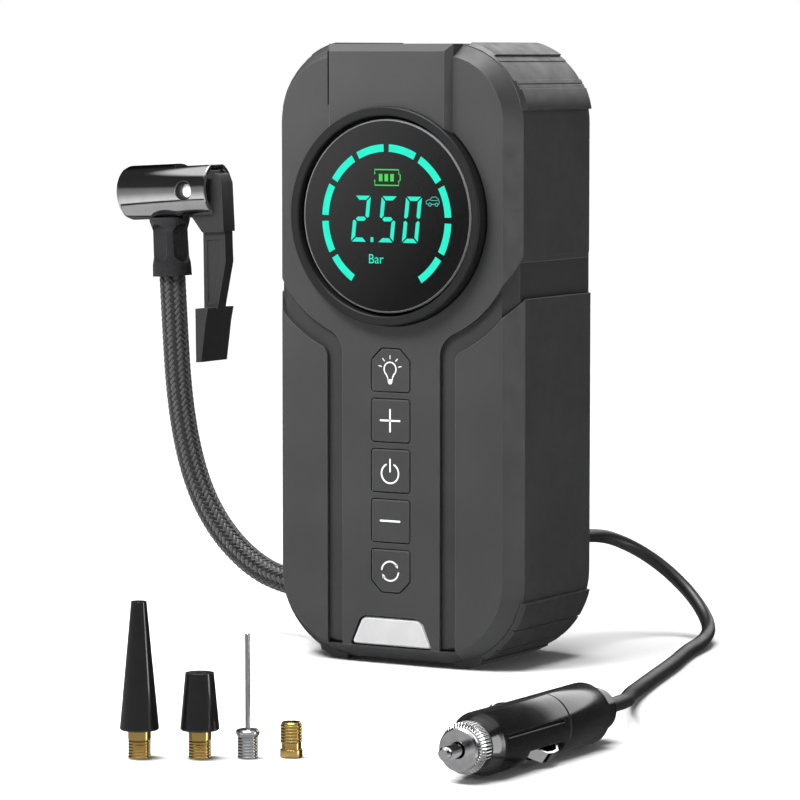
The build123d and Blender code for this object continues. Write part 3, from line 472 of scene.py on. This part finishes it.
def make_materials():
    panel = (0.040, 0.040, 0.0405)
    return {
        "casing_black": moulded("casing_black", (0.033, 0.033, 0.0335), 0.5, 0.4),
        "panel_grey": moulded("panel_grey", panel, 0.44, 0.5, edge=0.0004, painted_edge_factor=2.6),
        "bumper_grey": moulded("bumper_grey", (0.030, 0.030, 0.0305), 0.34, 0.55, grain=3200, depth=0.00001,
                               painted_edge_factor=4.0),
        # the bezel's edges are darkened as painted shade, which draws dark outlines
        "bezel_black": moulded("bezel_black", (0.012, 0.012, 0.0122), 0.45, 0.4, depth=0.00001, edge=0.0005,
                               painted_edge_factor=0.25),
        "display_glass": display_glass_material(),
        "display_module": moulded("display_module", (0.01, 0.01, 0.01), 0.6),
        "circuit_board": board_material(),
        "switch_metal": polished("switch_metal", (0.62, 0.62, 0.62), 0.3),
        "lamp_lens": lens_material(),
        "cell_wrap": moulded("cell_wrap", (0.05, 0.16, 0.38), 0.3, 0.5, coat=0.5),
        "holder_black": moulded("holder_black", (0.03, 0.03, 0.03), 0.55),
        "pump_alloy": moulded("pump_alloy", (0.55, 0.55, 0.56), 0.42, metallic=1.0, depth=0.00005),
        "motor_steel": polished("motor_steel", (0.55, 0.55, 0.56), 0.3, (0.1, 1, 1)),
        "steel": polished("steel", (0.60, 0.60, 0.61), 0.2, (1, 1, 0.05)),
        "gear_nylon": moulded("gear_nylon", (0.72, 0.70, 0.62), 0.4, painted_edge_factor=1.2),
        "brass": polished("brass", (0.72, 0.50, 0.17), 0.2, (0.2, 0.2, 2.5), 0.00002),
        "ring_black": moulded("ring_black", (0.02, 0.02, 0.02), 0.6),
        "inner_tube": moulded("inner_tube", (0.45, 0.45, 0.44), 0.35),
        "boot_rubber": moulded("boot_rubber", (0.022, 0.022, 0.023), 0.55, painted_edge_factor=2.6),
        "hose_braid": yarn_material("hose_braid_grey", (0.058, 0.058, 0.0585), (0.8, 0.8, 0.8)),
        "hose_braid_black": yarn_material("hose_braid_black", (0.014, 0.014, 0.0145), (0.5, 0.5, 0.5)),
        "hose_core": moulded("hose_core", (0.006, 0.006, 0.006), 0.7, 0.3),
        "ferrule_black": moulded("ferrule_black", (0.016, 0.016, 0.017), 0.26, 0.55, depth=0.000006,
                                 edge=0.0004, painted_edge_factor=3.0, rough_range=0.04),
        "pin_bright": moulded("pin_bright", (0.80, 0.80, 0.81), 0.35, 0.5, depth=0.000005, painted_edge_factor=1.1),
        "chrome": polished("chrome", (0.80, 0.80, 0.81), 0.07, (0.04, 1, 1)),
        "knurled_chrome": knurled_chrome(),
        "seal_rubber": moulded("seal_rubber", (0.012, 0.012, 0.012), 0.6),
        "lever_black": moulded("lever_black", (0.026, 0.026, 0.0265), 0.46, 0.5, painted_edge_factor=2.4),
        "cord_black": moulded("cord_black", (0.018, 0.018, 0.019), 0.36, 0.5, depth=0.00001, painted_edge_factor=2.2),
        "plug_black": moulded("plug_black", (0.010, 0.010, 0.0105), 0.16, 0.6, depth=0.000003, coat=0.35,
                              coat_rough=0.06, painted_edge_factor=4.0, rough_range=0.03),
        "nozzle_black": moulded("nozzle_black", (0.009, 0.009, 0.0095), 0.15, 0.6, depth=0.000003, coat=0.3,
                                coat_rough=0.06, painted_edge_factor=4.0, rough_range=0.03),
        "button_grey": moulded("button_grey", panel, 0.46, 0.5, edge=0.0004, painted_edge_factor=3.2),
        "black_screw": moulded("black_screw", (0.03, 0.03, 0.03), 0.35, metallic=0.7),
        "symbol_white": moulded("symbol_white", (0.80, 0.80, 0.80), 0.5, painted_edge_factor=1.1),
        # black for painted shade in joints and a painted shadow beside the raised strip
        "joint_shade_black": moulded("joint_shade_black", (0.003, 0.003, 0.003), 0.8, 0.1),
        "lit_cyan": lit_material("lit_cyan", (0.0116, 0.95, 0.66), 1.0),
        "lit_green": lit_material("lit_green", (0.07, 0.72, 0.10), 1.0),
        "lit_pale": lit_material("lit_pale", (0.10, 0.62, 0.52), 0.9),
    }


def finish_nodes(materials):
    """Gives each CAD node its material, and smooth shading between its sharp edges."""
    slots = {entry["node"]: entry["material_slot"] for entry in frame["record"]["subparts"]}
    special = {"plug_nose_ring": "knurled_chrome"}
    for name, node in nodes.items():
        material = materials[special.get(name, slots[name])]
        node.data.materials.clear()
        node.data.materials.append(material)
        node.data.polygons.foreach_set("use_smooth", [True] * len(node.data.polygons))
        weld = node.modifiers.new("weld", "WELD")
        weld.merge_threshold = 1e-6
        split = node.modifiers.new("split", "EDGE_SPLIT")
        split.split_angle = math.radians(28)


# ---------------------------------------------------------------- flat graphics

def plate(name, polygons, y, thick, material, body):
    """Thin raised shapes from closed outlines in X and Z, in millimetres, that stand on the plane y."""
    mesh = bpy.data.meshes.new(name)
    bm = bmesh.new()
    for outline in polygons:
        verts = [bm.verts.new((x * MM, y * MM, z * MM)) for x, z in outline]
        face = bm.faces.new(verts)
        face.normal_update()
        if face.normal.y > 0:
            face.normal_flip()
    made = bmesh.ops.extrude_face_region(bm, geom=bm.faces[:])
    moved = [v for v in made["geom"] if isinstance(v, bmesh.types.BMVert)]
    bmesh.ops.translate(bm, verts=moved, vec=(0, -thick * MM, 0))
    bmesh.ops.recalc_face_normals(bm, faces=bm.faces)
    bm.to_mesh(mesh)
    bm.free()
    mesh.materials.append(material)
    piece = bpy.data.objects.new(name, mesh)
    bpy.context.scene.collection.objects.link(piece)
    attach(piece, body)


def line(points, width):
    """Outline of a drawn line of even width with rounded ends."""
    pts = [Vector(p) for p in points]
    left, right = [], []
    for i, here in enumerate(pts):
        before = pts[max(i - 1, 0)]
        after = pts[min(i + 1, len(pts) - 1)]
        direction = (after - before).normalized()
        normal = Vector((-direction.y, direction.x)) * width / 2
        left.append(here + normal)
        right.append(here - normal)
    ends = []
    for centre, start in ((pts[-1], left[-1]), (pts[0], right[0])):
        arm = start - centre
        cap = []
        for k in range(1, 5):
            angle = -math.pi * k / 5
            cap.append(centre + Vector((arm.x * math.cos(angle) - arm.y * math.sin(angle),
                                        arm.x * math.sin(angle) + arm.y * math.cos(angle))))
        ends.append(cap)
    return [tuple(p) for p in left + ends[0] + right[::-1] + ends[1]]


def arc(centre, radius, start, end, steps=24):
    return [(centre[0] + radius * math.cos(math.radians(start + (end - start) * k / steps)),
             centre[1] + radius * math.sin(math.radians(start + (end - start) * k / steps)))
            for k in range(steps + 1)]


def ring_sector(centre, inner, outer, start, end, steps=14):
    return arc(centre, outer, start, end, steps) + arc(centre, inner, end, start, steps)


def box_outline(x0, x1, z0, z1):
    return [(x0, z0), (x1, z0), (x1, z1), (x0, z1)]


def digit(segments, left, width=6.45, height=16.3, bar=1.5, gap=0.38, slant=0.11):
    """Seven-segment figure with mitred segments, leaning to the right."""
    mid = height / 2
    shapes = {
        "a": [(gap, height), (width - gap, height), (width - bar - gap, height - bar),
              (bar + gap, height - bar)],
        "d": [(gap, 0), (width - gap, 0), (width - bar - gap, bar), (bar + gap, bar)],
        "f": [(0, height - gap), (bar, height - bar - gap), (bar, mid + bar / 2 + gap), (bar / 2, mid + gap),
              (0, mid + bar / 2)],
        "e": [(0, gap), (bar, bar + gap), (bar, mid - bar / 2 - gap), (bar / 2, mid - gap), (0, mid - bar / 2)],
        "g": [(bar / 2 + gap, mid), (bar + gap, mid + bar / 2), (width - bar - gap, mid + bar / 2),
              (width - bar / 2 - gap, mid), (width - bar - gap, mid - bar / 2), (bar + gap, mid - bar / 2)],
    }
    shapes["b"] = [(width - x, z) for x, z in shapes["f"]]
    shapes["c"] = [(width - x, z) for x, z in shapes["e"]]
    return [[(left + x + z * slant, FIGURES_LOW + z) for x, z in shapes[s]] for s in segments]


def gauge_ring():
    """Spans of the open ring round the figures, the same on both sides of its top."""
    ring = []
    for start, end in GAUGE_SPANS:
        gap = GAUGE_GAP if end < GAUGE_SPANS[-1][1] else GAUGE_LAST_GAP
        for side in (-1, 1):
            from_angle = 90 - side * (start + GAUGE_GAP)
            to_angle = 90 - side * (end - gap)
            ring.append(ring_sector(GAUGE_CENTRE, GAUGE_INNER, GAUGE_OUTER, from_angle, to_angle))
    return ring


def battery_outlines():
    shell = line([(-4.6, 174.9), (-4.6, 176.4), (5.2, 176.4), (5.2, 174.9), (5.8, 174.7), (5.8, 172.7),
                  (5.2, 172.5), (5.2, 170.9), (-4.6, 170.9), (-4.6, 172.6)], 0.42)
    return [shell] + [box_outline(x, x + 1.45, 172.3, 174.9) for x in (-2.9, -0.6, 1.75)]


def car_outlines():
    roof = [(17.3, 164.6), (16.5, 164.6), (16.3, 165.6), (17.0, 166.0), (17.9, 166.2), (18.7, 167.0),
            (20.2, 167.2), (21.2, 166.5), (21.7, 165.4), (21.5, 164.6), (21.1, 164.6)]
    wheels = [line(arc((x, 164.45), 0.55, 0, 350), 0.28) for x in (17.85, 20.55)]
    return [line(roof, 0.26), line([(18.4, 164.55), (20.0, 164.55)], 0.32)] + wheels + [
        line([(18.2, 165.9), (20.9, 165.9)], 0.24)]


def make_unit_word(y, material):
    """The pressure's unit, as flat letters on the plane y."""
    unit = bpy.data.curves.new("unit", "FONT")
    unit.body = "Bar"
    unit.size = 4.7 * MM
    letters = bpy.data.objects.new("unit_source", unit)
    bpy.context.scene.collection.objects.link(letters)
    bpy.context.view_layer.update()
    mesh = bpy.data.meshes.new_from_object(letters.evaluated_get(bpy.context.evaluated_depsgraph_get()))
    bpy.data.objects.remove(letters)
    bpy.data.curves.remove(unit)
    width = max(v.co.x for v in mesh.vertices)
    for v in mesh.vertices:
        v.co = Vector((v.co.x * 6.3 * MM / width - 7.3 * MM, y * MM, v.co.y + 143.3 * MM))
    mesh.materials.clear()
    mesh.materials.append(material)
    word = bpy.data.objects.new("unit_word", mesh)
    bpy.context.scene.collection.objects.link(word)
    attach(word, "casing")


def make_display(materials):
    cyan = materials["lit_cyan"]
    glass = GLASS_Y - 0.01
    thick = 0.03
    figures = digit("abged", -14.4) + digit("afgcd", -3.5) + digit("abcdef", 6.45)
    figures.append(box_outline(-6.3, -5.2, FIGURES_LOW, FIGURES_LOW + 1.7))
    plate("gauge_ring", gauge_ring(), glass, thick, cyan, "casing")
    plate("figures", figures, glass, thick, cyan, "casing")
    plate("battery_symbol", battery_outlines(), glass, thick, materials["lit_green"], "casing")
    plate("car_symbol", car_outlines(), glass, thick, materials["lit_pale"], "casing")
    make_unit_word(glass - thick, cyan)


def symbols():
    """Outlines of the five button symbols, about each button's own centre."""
    bulb_wall = arc((0, 0.4), 2.45, -52, 232, 30)
    bulb = [(-0.95, -3.4), (-1.0, -2.6)] + bulb_wall[::-1] + [(1.0, -2.6), (0.95, -3.4), (-0.95, -3.4)]
    rays = []
    for angle in (12, 50, 90, 130, 168):
        dx, dz = math.cos(math.radians(angle)), math.sin(math.radians(angle))
        rays.append(line([(3.6 * dx, 0.5 + 3.6 * dz), (4.7 * dx, 0.5 + 4.7 * dz)], 0.36))
    base = [[(-1.0, -3.75), (1.0, -3.75), (1.0, -4.15), (0.45, -4.95), (-0.45, -4.95), (-1.0, -4.15)]]
    head = math.radians(35)
    tip = (3.45 * math.cos(head), 3.45 * math.sin(head))
    arrow = [(tip[0] - 0.95, tip[1] + 0.1), (tip[0] + 0.35, tip[1] + 0.65), (tip[0] + 0.3, tip[1] - 0.95)]
    upper = [line(arc((0, 0), 3.45, 172, 40), 0.62), arrow]
    lower = [[(-x, -z) for x, z in shape] for shape in upper]
    return {
        "light": [line(bulb, 0.5)] + rays + base,
        "plus": [line([(-3.9, 0), (3.9, 0)], 0.68), line([(0, 3.9), (0, 0.36)], 0.68),
                 line([(0, -0.36), (0, -3.9)], 0.68)],
        "power": [line(arc((0, -0.9), 3.5, 118, 422, 40), 0.64), line([(0, 4.1), (0, -0.2)], 0.64)],
        "minus": [line([(-3.9, 0), (3.9, 0)], 0.7)],
        "mode": upper + lower,
    }


def make_symbols(materials):
    for name, outlines in symbols().items():
        placed = [[(x + SYMBOL_X, z + BUTTON_Z[name]) for x, z in shape] for shape in outlines]
        plate(name + "_symbol", placed, FACE_Y, 0.04, materials["symbol_white"], name + "_button")


def make_joint_shade(materials):
    """Black lines: painted shade in the joint round the bezel's foot, and a painted shadow beside the raised
    strip.
    """
    lines = [ring_sector((0, DISPLAY_Z), SEAT_INNER, SEAT_OUTER, start, start + 89.9, 40)
             for start in (0, 90, 180, 270)]
    lines.append(box_outline(STRIP_LEFT, STRIP_LEFT + STRIP_SHADOW_WIDTH, 199.0, 218.0))
    plate("joint_shade_lines", lines, PANEL_Y, 0.015, materials["joint_shade_black"], "casing")


# ---------------------------------------------------------------- cords in place

def make_cords(materials):
    hose = nurbs_curve("air_hose_core", HOSE_ROUTE, HOSE_RADIUS - 0.45)
    hose.data.materials.append(materials["hose_core"])
    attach(hose, "casing")
    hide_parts("air_hose")
    rail = Rail(centre_line(HOSE_ROUTE))
    grey = braid_strands("hose_braid_grey", rail, 1)
    grey.data.materials.append(materials["hose_braid"])
    black = braid_strands("hose_braid_black", rail, -1)
    black.data.materials.append(materials["hose_braid_black"])
    for braid in (grey, black):
        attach(braid, "casing")
    cord = nurbs_curve("power_cord_line", CORD_ROUTE, CORD_RADIUS)
    cord.data.materials.append(materials["cord_black"])
    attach(cord, "casing")
    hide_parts("power_cord")


# ---------------------------------------------------------------- stage

def make_floor():
    floor = mesh_object("floor", [(-8, -8, -0.0001), (8, -8, -0.0001), (8, 8, -0.0001), (-8, 8, -0.0001)],
                        [(0, 1, 2, 3)], smooth=False)
    g = Graph("floor")
    g.link(g.blend(g.spread(g.noise(3), 0, 1), (0.93, 0.93, 0.93), (0.95, 0.95, 0.95)),
           g.shader.inputs["Base Color"])
    g.shader.inputs["Roughness"].default_value = 0.9
    g.shader.inputs["Specular IOR Level"].default_value = 0.0
    floor.data.materials.append(g.material)
    floor.visible_glossy = False


def area_light(name, place, target, width, height, power, mirrored=True):
    data = bpy.data.lights.new(name, "AREA")
    data.shape = "RECTANGLE"
    data.size = width
    data.size_y = height
    data.energy = power
    light = bpy.data.objects.new(name, data)
    bpy.context.scene.collection.objects.link(light)
    light.location = place
    light.visible_glossy = mirrored
    light.rotation_mode = "QUATERNION"
    light.rotation_quaternion = (Vector(target) - Vector(place)).to_track_quat("-Z", "Y")


def make_lights():
    sun = bpy.data.lights.new("sun", "SUN")
    sun.energy = 3.2
    sun.angle = math.radians(36)
    sun_object = bpy.data.objects.new("sun", sun)
    bpy.context.scene.collection.objects.link(sun_object)
    sun_object.rotation_euler = (math.radians(2), math.radians(-3), 0)
    area_light("key", (-0.10, -0.24, 0.37), (0, -0.03, 0.19), 0.22, 0.12, 2.4, False)
    area_light("right_strip", (0.85, 0.02, 0.05), (0.05, -0.02, 0.12), 0.14, 0.7, 1.6)
    area_light("left_strip", (-0.75, -0.55, 0.40), (-0.05, -0.02, 0.12), 0.10, 0.7, 0.8, False)


def world_range(tree, source, start, end, low, high):
    """A value that goes from low to high while the source goes from start to end."""
    node = tree.nodes.new("ShaderNodeMapRange")
    for key, value in (("From Min", start), ("From Max", end), ("To Min", low), ("To Max", high)):
        node.inputs[key].default_value = value
    tree.links.new(source, node.inputs["Value"])
    return node.outputs["Result"]


def world_math(tree, operation, first, second):
    node = tree.nodes.new("ShaderNodeMath")
    node.operation = operation
    tree.links.new(first, node.inputs[0])
    tree.links.new(second, node.inputs[1])
    return node.outputs[0]


def studio_bands(tree, height):
    """Light and dark bands by the direction's height, from straight down at 0 to straight up at 1."""
    bands = [(0.0, 0.42), (0.19, 0.55), (0.205, 0.02), (0.225, 0.02), (0.24, 1.0), (0.32, 0.8), (0.45, 0.34),
             (0.58, 0.2), (0.63, 0.04), (0.84, 0.03), (0.87, 0.85), (1.0, 1.0)]
    ramp = tree.nodes.new("ShaderNodeValToRGB")
    while len(ramp.color_ramp.elements) < len(bands):
        ramp.color_ramp.elements.new(0.5)
    for element, (place, value) in zip(ramp.color_ramp.elements, bands):
        element.position = place
        element.color = (value, value, value, 1)
    tree.links.new(world_range(tree, height, -1, 1, 0, 1), ramp.inputs["Fac"])
    return ramp.outputs["Color"]


def make_world():
    """White behind the object, and for reflections a studio that is dark behind it but for a low softbox."""
    world = bpy.data.worlds.new("studio")
    bpy.context.scene.world = world
    world.use_nodes = True
    tree = world.node_tree
    tree.nodes.clear()
    coordinates = tree.nodes.new("ShaderNodeTexCoord")
    split = tree.nodes.new("ShaderNodeSeparateXYZ")
    tree.links.new(coordinates.outputs["Generated"], split.inputs[0])
    back, up = split.outputs["Y"], split.outputs["Z"]

    softbox = world_math(tree, "MULTIPLY", world_range(tree, back, 0.80, 0.84, 0, 1),
                         world_range(tree, up, 0.20, 0.26, 0, 1))
    lit = tree.nodes.new("ShaderNodeMix")
    lit.data_type = "RGBA"
    lit.inputs[7].default_value = (2.2, 2.2, 2.2, 1)
    tree.links.new(softbox, lit.inputs[0])
    tree.links.new(studio_bands(tree, up), lit.inputs[6])

    path = tree.nodes.new("ShaderNodeLightPath")
    bright = world_math(tree, "MAXIMUM", world_range(tree, back, 0.38, 0.6, 1.0, 0.12), softbox)
    # less diffuse light than the reflections suggest
    fill = world_range(tree, path.outputs["Is Diffuse Ray"], 0, 1, 0.85, 0.3)

    studio = tree.nodes.new("ShaderNodeBackground")
    tree.links.new(lit.outputs[2], studio.inputs["Color"])
    tree.links.new(world_math(tree, "MULTIPLY", bright, fill), studio.inputs["Strength"])
    behind = tree.nodes.new("ShaderNodeBackground")
    behind.inputs["Color"].default_value = (1, 1, 1, 1)
    mix = tree.nodes.new("ShaderNodeMixShader")
    tree.links.new(path.outputs["Is Camera Ray"], mix.inputs[0])
    tree.links.new(studio.outputs[0], mix.inputs[1])
    tree.links.new(behind.outputs[0], mix.inputs[2])
    output = tree.nodes.new("ShaderNodeOutputWorld")
    tree.links.new(mix.outputs[0], output.inputs["Surface"])


make_camera()
materials = make_materials()
make_cords(materials)
finish_nodes(materials)
make_display(materials)
make_symbols(materials)
make_joint_shade(materials)
make_floor()
make_lights()
make_world()
bpy.context.scene.view_settings.view_transform = "Standard"
